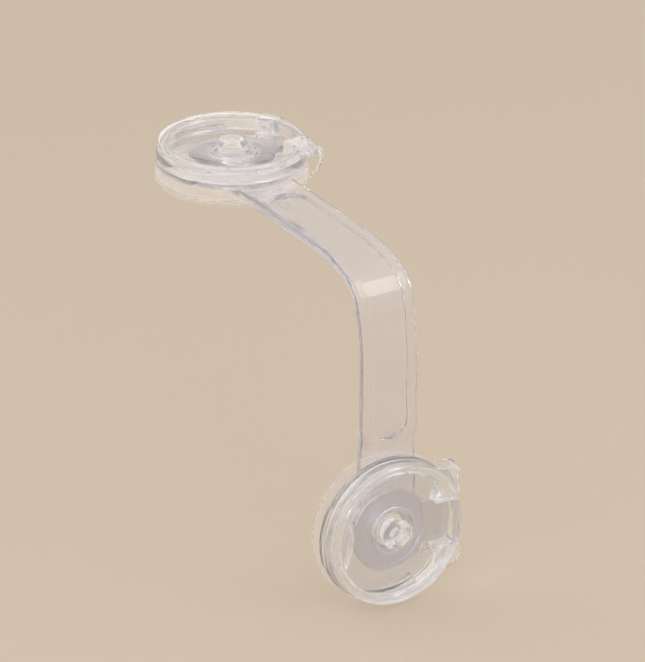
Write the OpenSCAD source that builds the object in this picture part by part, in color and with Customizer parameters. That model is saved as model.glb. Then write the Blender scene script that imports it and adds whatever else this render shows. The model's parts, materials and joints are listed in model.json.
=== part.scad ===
// Clear stick-on cabinet safety lock: a springy strap bent round a furniture corner, with a
// round press-to-release case at each end. Sizes are in millimetres.
// Origin: centre of the upper adhesive face. +Z points away from that face, -Y runs along the
// strap to the furniture corner, and +X points to the press tongues of both cases.
// Each case is drawn once in its own frame, which is the frame of the upper case, and the lower
// case is its mirror image across the corner.

/* [Installed position] */
// Distance from the upper case centre to the furniture corner
upper_leg = 75.3; // [60:0.1:110]
// Distance from the furniture corner to the lower case centre
lower_leg = 67; // [60:0.1:110]

/* [Strap] */
// Width of the strap
strap_w = 16.3; // [12:0.1:18]
// Thickness of the strap
strap_t = 2.2; // [1.8:0.1:2.6]
// Inside radius of the tight middle of the bend over the furniture corner
bend_r = 8; // [7:0.1:10]
// Inside radius of the gentle curve on each side of that tight middle
flank_r = 52; // [40:0.5:60]
// How far the lower leg steps off the furniture beside its case
lower_rise = 0.9; // [0.5:0.1:1.2]
// Radius of the round eye at each end of the strap
eye_r = 10.8; // [9:0.1:14]
// Thickness of that eye
eye_t = 3; // [2.6:0.1:3.2]
// Width of the long recess in the strap's outer face
recess_w = 10.6; // [6:0.1:12]
// Depth of that recess
recess_depth = 1.1; // [0.4:0.1:1.3]
// Distance from each case centre to the near end of the recess
recess_start = 25; // [22:0.1:32]

/* [Base] */
// Thickness of the adhesive pad
pad_t = 0.5; // [0.3:0.1:1.2]
// Diameter of the adhesive pad
pad_d = 39.2; // [30:0.1:40]
// Thickness of the base plate
plate_t = 1.3; // [1:0.1:2.5]
// Diameter of the base plate
plate_d = 41.2; // [40:0.1:44]
// Diameter of the hub that the strap's eye turns on
hub_d = 11; // [10.6:0.1:13]
// Running clearance between the hub and the strap's eye, on the radius
eye_fit = 0.06; // [0.02:0.01:0.1]

/* [Case] */
// Outer diameter of the case's rim
case_d = 40; // [38:0.1:44]
// Width of the rim's flat top
rim_w = 2.65; // [2.2:0.05:3.2]
// Height of the rim's top above the adhesive face
rim_top = 10.5; // [10:0.1:13]
// Thickness of the cup's floor
floor_t = 1; // [0.8:0.1:1.4]
// Height of the cover ring's outer band
ring_band = 1.6; // [1:0.1:2.4]
// Thickness of the cup's outer wall
cup_wall = 1.45; // [1.2:0.05:1.6]
// How far the lip on the back of the cup stands out
lip_out = 1; // [0.5:0.1:2]
// Height of that lip
lip_h = 1.5; // [1:0.1:2]

/* [Latch] */
// Thickness of the latch plate
latch_t = 0.85; // [0.6:0.05:1.2]
// Room between the latch plate and the rim, where the leaf spring sits
latch_room = 6.15; // [5.8:0.05:7]
// Width of the press tongue
tongue_w = 11.8; // [9:0.1:13]
// How far the latch hole stands off centre when the case is locked
latch_catch = 1; // [0.8:0.1:1.4]
// Radius of the stud's neck, which the latch plate grips
neck_r = 3.3; // [3:0.1:3.6]
// Radius of the stud's head
head_r = 4.2; // [4:0.1:4.5]
// Height of the stud's cone, which pushes the latch aside as the cup is lifted
cone_h = 2.8; // [2:0.1:3]
// How far the stud's top stands above the rim
head_proud = 0.5; // [0:0.1:1]

/* [Grip ear] */
// Angle from the press tongue to the tip of the ear, toward the strap
ear_angle = 40; // [34:1:46]
// How far the ear's tip stands out from the rim
ear_out = 4; // [3:0.1:6]
// How far the short stub on the tongue's other side stands out from the rim
stub_out = 1; // [0.5:0.1:1.5]

/* [Hidden] */

$fn = 96;
// How far a cut runs past the face that it opens
over = 0.5;
// Gap between flat faces that slide over each other
slide_gap = 0.1;
// Gap on each side of a piece that slides between walls
side_gap = 0.2;
// Gap between parts that are pushed together and never move
assembly_gap = 0.05;

// Colours of the clear plastic and of the adhesive
clear_plastic = [0.88, 0.88, 0.92, 0.45];
adhesive = [0.93, 0.92, 0.9, 0.6];

case_r = case_d / 2;
rim_r = case_r - rim_w;

// Heights above the adhesive face, from the pad up to the rim
plate_top = pad_t + plate_t;
strap_z = plate_top + slide_gap;
strap_top = strap_z + eye_t;
leg_z = strap_top - strap_t;
floor_z = strap_top + 2 * slide_gap;
floor_top = floor_z + floor_t;
latch_z = floor_top + slide_gap;
latch_top = latch_z + latch_t;
band_z = rim_top - ring_band;
head_top = rim_top + head_proud;

// Base plate's edge bevel, and the stud's shank, which fills a socket in the hub
plate_bevel = 0.4;
stud_shank_r = 2.6;

// Bore of the strap's eye, and the tab that joins the eye to the leg
eye_bore_r = hub_d / 2 + eye_fit;
flat_past_plate = 1.4;
leg_start = plate_d / 2 + flat_past_plate;

// Cup: stud hole, wall step for the ring, rounded foot, and the arc of the lip
stud_play = 0.3;
stud_hole_r = head_r + stud_play;
wall_r = case_r - cup_wall;
foot_bevel = 0.5;
lip_from = 162;
lip_to = 209;

// Ramped stop inside the cup, on the side away from the strap
stop_from = 66;
stop_to = 118;
stop_w = 2.5;
stop_h = 2.2;
stop_steps = 14;

// Window for the press tongue
window_w = tongue_w + 2 * side_gap;

// Guide blocks inside the rim, on both sides of the window
block_in = 1.75;
block_to = 47;
rim_bevel = 0.35;

// Latch: hole, collar, and the arm that carries the tongue
latch_play = 0.15;
latch_hole_r = neck_r + latch_catch + latch_play;
collar_r = 6.5;
collar_wall = 1;
collar_h = 0.95;
arm_inset = 0.4;
arm_w = tongue_w - 2 * arm_inset;
latch_r = rim_r - latch_room;

// Peg on the cup's floor, clear of the latch plate and beside its arm
peg_r = 1.3;
peg_h = 1.4;
peg_off_plate = 1.57;
peg_off_arm = 2.1;
peg_y = arm_w / 2 + peg_off_arm + peg_r;
peg_x = sqrt(pow(latch_r + peg_off_plate + peg_r, 2) - pow(peg_y, 2));

// Stud: neck height, head edge and the radius of its top
neck_top = latch_top + slide_gap;
cone_top = neck_top + cone_h;
head_top_r = 3.2;

// Leaf spring between the latch plate and the rim, and the angle of its ends from its middle
leaf_t = 0.8;
leaf_h = 1.6;
leaf_gap = 0.2;
leaf_end_angle = 30.3;

// Ear: how far out and how far down the points of its hook stand, as shares of its reach
ear_hook_shares = [[0.72, 0], [0.95, 0.16], [1, 0.4], [0.84, 0.74]];
ear_foot_share = 0.2;
ear_foot_gap = 0.35;
// Oval eye through each ear, placed by shares of the ear's reach
ear_eye_shares = [0.5, 0.52];
ear_eye_w = 1.9;
ear_eye_h = 2.4;
ear_eye_tilt = 14;
// Angles from the ear's middle to its tip corners, and to its roots near and away from the tongue
ear_tip_half = 4;
ear_root_near = 19;
ear_root_away = 15;
// Angles of the stub's two roots, and from each root to its outer edge
stub_from = 23;
stub_to = 45;
stub_slope = 6;

// Bend of the strap: a gentle arc, a tight arc and a gentle arc again, which turn 90 degrees in
// all. The gentle ones turn by this angle each.
flank_turn = 18;
bend_angle = 90;
curve_run = flank_r * sin(flank_turn) + bend_r * (cos(flank_turn) - sin(flank_turn))
            + flank_r * (1 - cos(flank_turn));
// Length of the sloping step in the lower leg
step_l = 6;
// Where the inner face of each leg starts to curve, along the leg and above the adhesive face
upper_start = [curve_run - upper_leg - leg_z - lower_rise, leg_z];
lower_start = [curve_run - lower_leg - leg_z, leg_z + lower_rise];
// The bend opens at evenly spaced seams; each leg holds the curve as far as its first seam
seam_count = 5;
seam_step = bend_angle / seam_count;
first_seam = seam_step / 2;
// Steps of the curve from seam to seam, and how far past its seam a cut runs, in degrees
curve_steps = 8;
seam_overrun = 2;

// Carries a case drawn in the upper case's frame over to the lower case
module place_lower() {
    translate([0, -upper_leg, -lower_leg]) mirror([0, 1, 1]) children();
}

// Piece of a ring between two radii, two heights and two angles
module ring_sector(r_in, r_out, z_low, z_high, from, to) {
    translate([0, 0, z_low])
        rotate([0, 0, from])
            rotate_extrude(angle = to - from)
                translate([r_in, 0])
                    square([r_out - r_in, z_high - z_low]);
}

// Block that removes the press tongue's window from a rim part
module tongue_window(z_low, z_high) {
    translate([0, -window_w / 2, z_low])
        cube([case_r + over, window_w, z_high - z_low]);
}

module adhesive_pad() {
    color(adhesive)
        cylinder(r = pad_d / 2, h = pad_t);
}

module base_plate() {
    plate_r = plate_d / 2;
    color(clear_plastic)
        difference() {
            rotate_extrude()
                polygon([[0, pad_t],
                         [plate_r - plate_bevel, pad_t],
                         [plate_r, pad_t + plate_bevel],
                         [plate_r, plate_top - plate_bevel],
                         [plate_r - plate_bevel, plate_top],
                         [hub_d / 2, plate_top],
                         [hub_d / 2, floor_z],
                         [0, floor_z]]);
            translate([0, 0, plate_top])
                cylinder(r = stud_shank_r, h = floor_z - plate_top + over);
        }
}

module hub_stud() {
    color(clear_plastic)
        rotate_extrude()
            polygon([[0, plate_top],
                     [stud_shank_r, plate_top],
                     [stud_shank_r, floor_z],
                     [neck_r, floor_z],
                     [neck_r, neck_top],
                     [head_r, cone_top],
                     [head_top_r, head_top],
                     [0, head_top]]);
}

// Ramp whose inner face leaves the wall and ends in a square step
module ramped_stop() {
    outer_r = rim_r + assembly_gap;
    ramp = [for (i = [0 : stop_steps])
               let (t = i / stop_steps, a = stop_from + t * (stop_to - stop_from))
                   (rim_r - stop_w * (1 - t)) * [cos(a), sin(a)]];
    back = [for (i = [stop_steps : -1 : 0])
               let (t = i / stop_steps, a = stop_from + t * (stop_to - stop_from))
                   outer_r * [cos(a), sin(a)]];
    translate([0, 0, floor_top - assembly_gap])
        linear_extrude(height = stop_h + assembly_gap)
            polygon(concat(ramp, back));
}

module cup() {
    color(clear_plastic)
        difference() {
            union() {
                rotate_extrude()
                    polygon([[stud_hole_r, floor_z],
                             [case_r - foot_bevel, floor_z],
                             [case_r, floor_z + foot_bevel],
                             [case_r, band_z],
                             [wall_r, band_z],
                             [wall_r, floor_top],
                             [stud_hole_r, floor_top]]);
                ring_sector(wall_r + assembly_gap, case_r + lip_out, floor_z, floor_z + lip_h,
                            lip_from, lip_to);
                intersection() {
                    ramped_stop();
                    cylinder(r = rim_r - assembly_gap, h = rim_top);
                }
                translate([peg_x, peg_y, floor_top - assembly_gap])
                    cylinder(r = peg_r, h = peg_h + assembly_gap);
            }
            tongue_window(floor_top, rim_top);
        }
}

// Section of an ear in radius and height, hooked over at its tip and tapered to its foot
module ear_section() {
    hook = [for (p = ear_hook_shares) [case_r + p[0] * ear_out, rim_top - p[1] * ear_out]];
    difference() {
        polygon(concat([[wall_r + cup_wall / 2, band_z],
                        [wall_r + cup_wall / 2, rim_top]],
                       hook,
                       [[case_r + ear_foot_gap + ear_foot_share * ear_out, floor_z + foot_bevel],
                        [case_r + ear_foot_gap, floor_z + foot_bevel],
                        [case_r + ear_foot_gap, band_z]]));
        translate([case_r + ear_eye_shares[0] * ear_out, rim_top - ear_eye_shares[1] * ear_out])
            rotate(-ear_eye_tilt)
                oval(ear_eye_w, ear_eye_h);
    }
}

// Upright oval with round ends
module oval(width, height) {
    straight = height - width;
    for (side = [-1, 1])
        translate([0, side * straight / 2])
            circle(r = width / 2);
    translate([-width / 2, -straight / 2])
        square([width, straight]);
}

// Point of the case's plan at a radius and an angle
function polar(r, a) = [r * cos(a), r * sin(a)];

// Grip ear on the strap's side, clipped to its horn-shaped plan
module ear() {
    reach = case_r + ear_out + over;
    near = ear_angle - ear_root_near;
    away = ear_angle + ear_root_away;
    intersection() {
        rotate([0, 0, -ear_angle])
            rotate([90, 0, 0])
                translate([0, 0, -case_r / 2])
                    linear_extrude(height = case_r)
                        ear_section();
        linear_extrude(height = rim_top + over)
            polygon([polar(wall_r, -near),
                     polar(case_r + over, -near),
                     polar(reach, -ear_angle + ear_tip_half),
                     polar(reach, -ear_angle - ear_tip_half),
                     polar(case_r, -away),
                     polar(wall_r, -away)]);
    }
}

// Short stub on the side away from the strap
module stub() {
    translate([0, 0, band_z])
        linear_extrude(height = ring_band)
            polygon([polar(wall_r + cup_wall / 2, stub_from),
                     polar(case_r + stub_out, stub_from + stub_slope),
                     polar(case_r + stub_out, stub_to - stub_slope),
                     polar(wall_r + cup_wall / 2, stub_to)]);
}

// Section of the rim from a given height up, with its outer top edge bevelled
module rim_profile(z_low) {
    polygon([[rim_r, z_low],
             [case_r, z_low],
             [case_r, rim_top - rim_bevel],
             [case_r - rim_bevel, rim_top],
             [rim_r, rim_top]]);
}

module cover_ring() {
    spigot_z = floor_top + assembly_gap;
    spigot_r = wall_r - assembly_gap;
    color(clear_plastic)
        difference() {
            union() {
                rotate_extrude() {
                    rim_profile(band_z);
                    translate([rim_r, spigot_z])
                        square([spigot_r - rim_r, band_z - spigot_z + assembly_gap]);
                }
                ring_sector(rim_r - block_in, rim_r + assembly_gap, spigot_z, rim_top, 0, block_to);
                ring_sector(rim_r - block_in, rim_r + assembly_gap, spigot_z, rim_top, -block_to, 0);
                ear();
                stub();
            }
            tongue_window(spigot_z - over, rim_top + over);
        }
}

module latch() {
    color(clear_plastic)
        difference() {
            union() {
                translate([0, 0, latch_z])
                    cylinder(r = latch_r, h = latch_t);
                translate([0, -arm_w / 2, latch_z])
                    cube([rim_r + assembly_gap, arm_w, latch_t]);
                translate([latch_catch / 2, 0, latch_z])
                    cylinder(r = collar_r, h = latch_t + collar_h);
                intersection() {
                    rotate([0, 0, -ear_angle])
                        rotate_extrude(angle = 2 * ear_angle)
                            rim_profile(latch_z);
                    translate([0, -tongue_w / 2, latch_z])
                        cube([case_r + over, tongue_w, rim_top]);
                }
            }
            translate([latch_catch, 0, latch_z - over])
                cylinder(r = latch_hole_r, h = latch_t + collar_h + 2 * over);
            translate([latch_catch / 2, 0, latch_top])
                cylinder(r = collar_r - collar_wall, h = collar_h + over);
        }
}

// Bowed leaf whose ends bear on the ring and whose crown bears on the latch plate
module latch_spring() {
    crown = latch_r + leaf_gap + leaf_t;
    end = polar(rim_r - leaf_gap, leaf_end_angle);
    bow = end[0] - crown;
    bow_r = (end[1] * end[1] + bow * bow) / (2 * bow);
    half_angle = asin(end[1] / bow_r);
    color(clear_plastic)
        translate([-crown - bow_r, 0, 0])
            ring_sector(bow_r, bow_r + leaf_t, latch_z, latch_z + leaf_h, -half_angle, half_angle);
}

// Outward direction after a turn over the corner, as distance along the leg and height
function outward(turn) = [-sin(turn), cos(turn)];

// Centre of the arc that holds a turn, and that arc's radius at a height above the inner face
function arc_centre(start, turn) =
    let (gentle = start - flank_r * outward(0),
         tight = gentle + (flank_r - bend_r) * outward(flank_turn))
        turn <= flank_turn ? gentle
        : turn <= bend_angle - flank_turn ? tight
        : tight - (flank_r - bend_r) * outward(bend_angle - flank_turn);
function arc_r(turn, height) =
    height + (turn <= flank_turn || turn > bend_angle - flank_turn ? flank_r : bend_r);

// Points of the curve at a height above the strap's inner face, from one turn to another
function curve(start, height, from, to) =
    [for (i = [0 : curve_steps])
        let (turn = from + (to - from) * i / curve_steps)
            arc_centre(start, turn) + arc_r(turn, height) * outward(turn)];

// The two ends of a leg's sloping step, at a height above the strap's inner face
function step_points(start, height) = [[-leg_start, leg_z + height], [-leg_start - step_l, start[1] + height]];

// Stands a side view up and gives it a width across the strap
module across_strap(width) {
    translate([-width / 2, 0, 0])
        rotate([90, 0, 90])
            linear_extrude(height = width)
                children();
}

// Side view of a leg between two heights, from the case to a turn over the corner
module leg_side(start, low, high, to) {
    outer_step = step_points(start, high);
    polygon(concat(step_points(start, low),
                   curve(start, low, 0, to),
                   curve(start, high, to, 0),
                   [outer_step[1], outer_step[0]]));
}

// Side view of the bend between two heights and two turns
module bend_side(low, high, from, to) {
    polygon(concat(curve(upper_start, low, from, to),
                   curve(upper_start, high, to, from)));
}

// Plan of the recess: a slot with a round end toward the case
module recess_plan(far_y) {
    near_y = -recess_start - recess_w / 2;
    translate([0, near_y])
        circle(r = recess_w / 2);
    translate([-recess_w / 2, far_y])
        square([recess_w, near_y - far_y]);
}

// One leg in its case's frame, whose inner face curves from a start point onward
module strap_leg(start) {
    color(clear_plastic)
        difference() {
            union() {
                translate([0, 0, strap_z])
                    cylinder(r = eye_r, h = eye_t);
                translate([-strap_w / 2, -leg_start - assembly_gap, leg_z])
                    cube([strap_w, leg_start + assembly_gap, strap_t]);
                across_strap(strap_w)
                    leg_side(start, 0, strap_t, first_seam);
            }
            translate([0, 0, strap_z - over])
                cylinder(r = eye_bore_r, h = eye_t + 2 * over);
            intersection() {
                across_strap(strap_w)
                    leg_side(start, strap_t - recess_depth, strap_t + over, first_seam + seam_overrun);
                linear_extrude(height = case_r)
                    recess_plan(start[0] - curve_run);
            }
        }
}

// One piece of the bend between two neighbouring seams, counted from the upper leg
module strap_bend(number) {
    from = first_seam + (number - 1) * seam_step;
    to = from + seam_step;
    color(clear_plastic)
        difference() {
            across_strap(strap_w)
                bend_side(0, strap_t, from, to);
            across_strap(recess_w)
                bend_side(strap_t - recess_depth, strap_t + over, from - seam_overrun, to + seam_overrun);
        }
}

adhesive_pad();  // upper_adhesive_pad
base_plate();  // upper_base_plate
hub_stud();  // upper_hub_stud
cup();  // upper_cup
cover_ring();  // upper_cover_ring
latch();  // upper_latch
latch_spring();  // upper_latch_spring
strap_leg(upper_start);  // strap_upper_leg
strap_bend(1);  // strap_bend_1
strap_bend(2);  // strap_bend_2
strap_bend(3);  // strap_bend_3
strap_bend(4);  // strap_bend_4
place_lower() strap_leg(lower_start);  // strap_lower_leg
place_lower() adhesive_pad();  // lower_adhesive_pad
place_lower() base_plate();  // lower_base_plate
place_lower() hub_stud();  // lower_hub_stud
place_lower() cup();  // lower_cup
place_lower() cover_ring();  // lower_cover_ring
place_lower() latch();  // lower_latch
place_lower() latch_spring();  // lower_latch_spring
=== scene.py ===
"""Clear stick-on cabinet safety lock, dressed for rendering.

The packed model is loaded as a fixed frame. Every piece is modelled again as clear moulded
plastic in the place that the frame gives, with rounded edges, and a plain stage, soft lamps
and a camera are added. All lengths are metres.
"""

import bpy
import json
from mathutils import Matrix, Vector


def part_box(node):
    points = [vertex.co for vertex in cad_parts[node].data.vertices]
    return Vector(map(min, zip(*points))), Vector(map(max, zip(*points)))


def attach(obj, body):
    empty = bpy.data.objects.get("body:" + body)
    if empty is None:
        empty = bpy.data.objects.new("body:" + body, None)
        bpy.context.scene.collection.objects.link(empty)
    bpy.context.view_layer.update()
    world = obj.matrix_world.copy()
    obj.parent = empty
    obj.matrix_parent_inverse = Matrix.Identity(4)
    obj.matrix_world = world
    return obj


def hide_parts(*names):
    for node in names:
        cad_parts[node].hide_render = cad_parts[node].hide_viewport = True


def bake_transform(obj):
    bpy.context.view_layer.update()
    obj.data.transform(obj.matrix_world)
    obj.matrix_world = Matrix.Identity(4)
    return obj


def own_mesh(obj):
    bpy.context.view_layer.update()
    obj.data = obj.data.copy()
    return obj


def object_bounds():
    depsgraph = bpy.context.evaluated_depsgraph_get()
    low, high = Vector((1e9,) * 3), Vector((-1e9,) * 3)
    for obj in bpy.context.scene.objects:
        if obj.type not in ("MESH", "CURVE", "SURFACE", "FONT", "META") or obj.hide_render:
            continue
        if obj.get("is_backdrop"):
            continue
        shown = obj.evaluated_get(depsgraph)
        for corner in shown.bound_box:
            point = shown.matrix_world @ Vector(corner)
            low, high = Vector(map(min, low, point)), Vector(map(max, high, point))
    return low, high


bl_info = {
    "name": "Clear Cabinet Safety Lock",
    "version": (1, 0, 0),
    "blender": (4, 5, 0),
    "location": "View3D > Sidebar > Safety Lock",
    "description": "Models the cases, latches and strap of a clear stick-on cabinet lock",
    "category": "Object",
}

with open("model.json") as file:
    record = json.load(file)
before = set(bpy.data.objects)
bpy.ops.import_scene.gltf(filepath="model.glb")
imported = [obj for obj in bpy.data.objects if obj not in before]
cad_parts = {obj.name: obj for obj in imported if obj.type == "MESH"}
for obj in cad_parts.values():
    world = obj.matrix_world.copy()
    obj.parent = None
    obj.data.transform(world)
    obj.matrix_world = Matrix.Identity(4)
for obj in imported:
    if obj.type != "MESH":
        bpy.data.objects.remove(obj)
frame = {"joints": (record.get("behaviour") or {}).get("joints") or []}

import json
import math

import bmesh
import bpy
from bmesh.types import BMEdge, BMVert
from bpy.props import FloatProperty, FloatVectorProperty, IntProperty, PointerProperty
from mathutils import Matrix, Vector

SIDES = ("upper", "lower")
MM = 0.001

# Points nearer than these are merged in a new shape and in a carved one
MERGE = 0.0005 * MM
CARVED_MERGE = 0.001 * MM

# How near the axis or a cutting plane a point has to lie to count as on it, and how near to an
# arc's end a turn may lie beyond it
ON_AXIS = 1e-9
ON_PLANE = 1e-8
ON_ARC = 1e-6

# Facets of a rounded corner, of a rounded edge, of a guide block's back, and of the shortest arc
CORNER_FACETS = 4
EDGE_FACETS = 3
BLOCK_FACETS = 16
LEAST_FACETS = 4

# Turn between the cuts that let the strap bend, and how many more cuts its step has
FINE_TURN = math.radians(1.2)
STEP_CUTS = 12

# How far a face is held back from one that it would else share a plane with
SINK = 0.02 * MM
STUB_SINK = 0.015 * MM

# How deep a piece that stands on another is rooted in it
ROOT = 0.3 * MM

# Turn of the window's sides and shortfall of the tongue's, before they are set parallel
WINDOW_TURN = math.radians(23)
TONGUE_SHORTFALL = 0.01

# Edges of the ramped stop that fold more than this are rounded, but not so near to its thin end
RAMP_FOLD = math.radians(50)
RAMP_TAIL = 0.1

# Guide block: its side beside the peg, as distances from the peg's middle, and its blunt toe
BLOCK_BESIDE_PEG = (1.5 * MM, -0.5 * MM)
BLOCK_TOE = Vector((0.2 * MM, 1.2 * MM))

# Section of the grip ear, in millimetres in from its tip and down from the rim's top
EAR_OUTSIDE = ((1.75, 0), (0.65, 0.7), (0, 1.9), (0.1, 3.3), (0.85, 5))
EAR_INSIDE = ((1.65, 5), (1.05, 3.4), (1.1, 2.4), (1.75, 1.75), (2.8, 1.6))

# Noise at which haze and bubbles begin and are full, each with its strength there
HAZE_STOPS = ((0.45, 0.0), (0.75, 1.0))
BUBBLE_STOPS = ((0.35, 0.6), (0.7, 1.0))

# Light paths through the nested clear pieces
BOUNCES = {"max_bounces": 48, "transmission_bounces": 48, "glossy_bounces": 16,
           "transparent_max_bounces": 32}

# Name, place, width, height and watts of each lamp, and the point that they face
LAMPS = (("window", (0.6, -0.68, 0.98), 0.5, 1.1, 3.6),
         ("side", (-1.1, -0.3, 0.55), 0.28, 0.6, 4))
LAMP_TARGET = Vector((0, -0.07, 0))

# Heights at which the studio's tones change, from 0 straight below to 1 straight above
HORIZON = 0.5
WALL_FOOT = 0.56
WALL_HEAD = 0.72
CEILING = 0.8

# Middle of the dim wall, as a direction from the object, and how it fades in towards there
BACK_DIRECTION = (0.46, 0.79, 0.41)
BACK_STOPS = ((0.8, 0.0), (0.93, 1.0))

# Boxes of the upper case's nodes, which give the heights and radii of its pieces
PAD_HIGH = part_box("upper_adhesive_pad")[1]
PLATE_LOW, PLATE_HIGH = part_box("upper_base_plate")
STUD_LOW, STUD_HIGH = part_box("upper_hub_stud")
CUP_LOW, CUP_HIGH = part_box("upper_cup")
RING_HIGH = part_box("upper_cover_ring")[1]
LATCH_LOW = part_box("upper_latch")[0]
LEG_LOW, LEG_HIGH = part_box("strap_upper_leg")

# The lower case's centre, as distances from the upper one along both furniture faces
LOWER_PAD_LOW, LOWER_PAD_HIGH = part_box("lower_adhesive_pad")
UPPER_LEG = -LOWER_PAD_HIGH.y
LOWER_LEG = -(LOWER_PAD_LOW.z + LOWER_PAD_HIGH.z) / 2

# Hinges of the strap's bend, in order from the upper leg
FLEX_JOINTS = [joint for joint in frame["joints"] if joint["name"].startswith("flex_")]


def length(name, default, text, low=0.0, high=1.0):
    """A size in metres that the sidebar shows."""
    return FloatProperty(name=name, description=text, default=default, min=low, max=high,
                         precision=5, subtype="DISTANCE", unit="LENGTH")


def angle(name, degrees, text):
    """An angle that the sidebar shows."""
    return FloatProperty(name=name, description=text, default=math.radians(degrees),
                         subtype="ANGLE", unit="ROTATION")


def number(name, default, text, low=0.0, high=1.0):
    """A plain number that the sidebar shows."""
    return FloatProperty(name=name, description=text, default=default, min=low, max=high)


def colour(name, default, text):
    """A colour without alpha that the sidebar shows."""
    return FloatVectorProperty(name=name, description=text, default=default, size=3, min=0, max=1,
                               subtype="COLOR")


class BaseSizes(bpy.types.PropertyGroup):
    """Sizes of the pad, the base plate and the stud."""

    pad_radius: length("Pad radius", PAD_HIGH.x, "Radius of the adhesive pad")
    pad_round: length("Pad rounding", 0.15 * MM, "Rounding of the pad's edge")
    plate_radius: length("Plate radius", 20.05 * MM, "Radius of the base plate")
    wet_radius: length("Wet radius", 17.6 * MM, "Radius to which the film wets the plate")
    hub_radius: length("Hub radius", 5.5 * MM, "Radius of the hub under the strap's eye")
    socket_radius: length("Socket radius", 2.62 * MM, "Radius of the socket that holds the stud")
    shank_radius: length("Shank radius", 2.58 * MM, "Radius of the stud's shank")
    neck_radius: length("Neck radius", 3.3 * MM, "Radius of the neck that the latch grips")
    head_radius: length("Head radius", STUD_HIGH.x, "Radius of the stud's head at its widest")
    head_top_radius: length("Head top radius", 3.2 * MM, "Radius of the stud's flat top")
    cone_height: length("Cone height", 2.8 * MM, "Height of the cone under the head")
    head_edge_height: length("Head edge", 1.05 * MM, "Height from the head's widest line to its top")
    dimple_radius: length("Dimple radius", 1.9 * MM, "Radius of the hollow in the stud's top")
    dimple_floor: length("Dimple floor", 1.52 * MM, "Radius of that hollow's flat floor")
    dimple_depth: length("Dimple depth", 0.4 * MM, "Depth of the hollow in the stud's top")
    stud_round: length("Stud rounding", 0.25 * MM, "Rounding of the stud's edges")
    edge_round: length("Edge rounding", 0.3 * MM, "Rounding of the base plate's edges")


class CaseSizes(bpy.types.PropertyGroup):
    """Sizes of the cup and the cover ring."""

    radius: length("Case radius", CUP_HIGH.y, "Outer radius of the cup's wall at its foot")
    rim_width: length("Rim width", 2.65 * MM, "Width of the rim under its top flange")
    top_radius: length("Top radius", 19.15 * MM, "Outer radius of the rim's top")
    band_radius: length("Band radius", 19.45 * MM, "Outer radius where cup and cover ring meet")
    flange_radius: length("Flange radius", 16.6 * MM, "Inner radius of the rim's top flange")
    flange_height: length("Flange height", 1.4 * MM, "Height of that flange")
    band: length("Band height", 1.6 * MM, "Height of the cover ring's outer band")
    wall: length("Cup wall", 1.45 * MM, "Thickness of the cup's outer wall")
    floor: length("Floor thickness", 1 * MM, "Thickness of the cup's floor")
    stud_hole: length("Stud hole radius", 4.5 * MM, "Radius of the hole round the stud")
    joint_gap: length("Joint gap", 0.05 * MM, "Gap where the cover ring sits in the cup")
    window: length("Window width", 12.2 * MM, "Width of the gap for the press tongue")
    edge_round: length("Edge rounding", 0.22 * MM, "Rounding of the other edges")
    foot_height: length("Foot height", 0.5 * MM, "Height of the cup's foot under its wall")
    wall_end: length("Wall end rounding", 0.12 * MM, "Rounding of the cup wall's ends")
    ring_end: length("Rim end rounding", 0.16 * MM, "Rounding of the rim's ends")
    lip_end: length("Lip end rounding", 0.15 * MM, "Rounding of the lip's ends")
    lip_radius: length("Lip radius", 20.3 * MM, "Outer radius of the lip")
    lip_height: length("Lip height", 1.5 * MM, "Height of the lip on the cup's back")
    lip_from: angle("Lip start", 162, "Angle at which the lip starts")
    lip_to: angle("Lip end", 209, "Angle at which the lip ends")
    ramp_width: length("Ramp width", 2.5 * MM, "Width of the ramped stop at its wide end")
    ramp_least: length("Ramp edge", 0.08 * MM, "Width of the ramped stop at its thin end")
    ramp_round: length("Ramp rounding", 0.15 * MM, "Rounding of the ramped stop's edges")
    ramp_height: length("Ramp height", 2.2 * MM, "Height of the ramped stop")
    ramp_from: angle("Ramp start", 66, "Angle of the ramped stop's square end")
    ramp_to: angle("Ramp end", 118, "Angle at which the ramped stop meets the wall")
    peg_radius: length("Peg radius", 1.3 * MM, "Radius of the peg on the floor")
    peg_height: length("Peg height", 1.4 * MM, "Height of the peg on the floor")
    peg_round: length("Peg rounding", 0.2 * MM, "Rounding of the peg's top")
    peg_x: length("Peg place", 10.9 * MM, "Distance of the peg towards the tongue")
    peg_y: length("Peg offset", 8.9 * MM, "Distance of the peg from the middle line")
    block_near: length("Guide block reach", 11.7 * MM, "Distance from the middle to a guide block")
    block_to: angle("Guide block end", 44, "Angle at which a guide block ends")
    block_root: length("Guide block root", 0.4 * MM, "How deep a guide block stands in the rim")
    block_gap: length("Guide block gap", 0.4 * MM, "Gap between a guide block and the peg")
    block_round: length("Guide block rounding", 0.25 * MM, "Rounding of a guide block's edges")


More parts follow.
